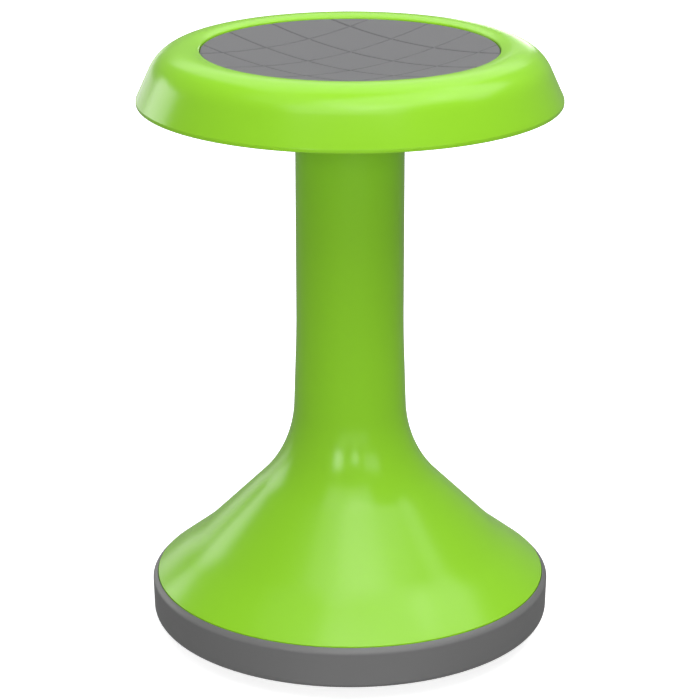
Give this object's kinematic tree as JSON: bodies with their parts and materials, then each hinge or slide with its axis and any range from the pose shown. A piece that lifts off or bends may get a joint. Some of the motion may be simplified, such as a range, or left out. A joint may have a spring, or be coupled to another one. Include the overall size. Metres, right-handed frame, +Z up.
{
  "type": "wobble stool",
  "caption": "Backless active-sitting stool with a round padded seat, a trumpet pedestal and a weighted convex foot that lets it rock in every direction.",
  "frame": {"origin": "middle of the foot's flat contact spot, on the floor", "axes": "+Z up along the stool's axis of symmetry; the seat pad's grid of grooves runs at 45 degrees to X and Y"},
  "size_m": [0.32, 0.32, 0.465],
  "materials": {
    "green_plastic": "satin lime green polypropylene",
    "pad_skin": "matt grey soft-touch skin with fine grooves",
    "foam": "open-cell foam",
    "dark_plastic": "black moulded polypropylene",
    "foot_rubber": "matt grey non-slip rubber",
    "ballast_iron": "painted rough casting",
    "zinc_steel": "zinc plated",
    "insert_brass": "turned and knurled"
  },
  "bodies": {
    "root": {"seat_shell": "green_plastic", "seat_pad": "pad_skin", "pad_foam": "foam", "pad_backing_plate": "dark_plastic", "pedestal_shell": "green_plastic", "base_plate": "dark_plastic", "rubber_foot": "foot_rubber", "ballast_disc": "ballast_iron", "seat_screw_1": "zinc_steel", "seat_screw_2": "zinc_steel", "seat_screw_3": "zinc_steel", "seat_screw_4": "zinc_steel", "seat_washer_1": "zinc_steel", "seat_washer_2": "zinc_steel", "seat_washer_3": "zinc_steel", "seat_washer_4": "zinc_steel", "seat_insert_1": "insert_brass", "seat_insert_2": "insert_brass", "seat_insert_3": "insert_brass", "seat_insert_4": "insert_brass", "base_screw_1": "zinc_steel", "base_screw_2": "zinc_steel", "base_screw_3": "zinc_steel", "base_screw_4": "zinc_steel", "base_screw_5": "zinc_steel", "base_screw_6": "zinc_steel", "ballast_bolt_1": "zinc_steel", "ballast_bolt_2": "zinc_steel", "ballast_bolt_3": "zinc_steel", "ballast_washer_1": "zinc_steel", "ballast_washer_2": "zinc_steel", "ballast_washer_3": "zinc_steel"}
  },
  "joints": []
}
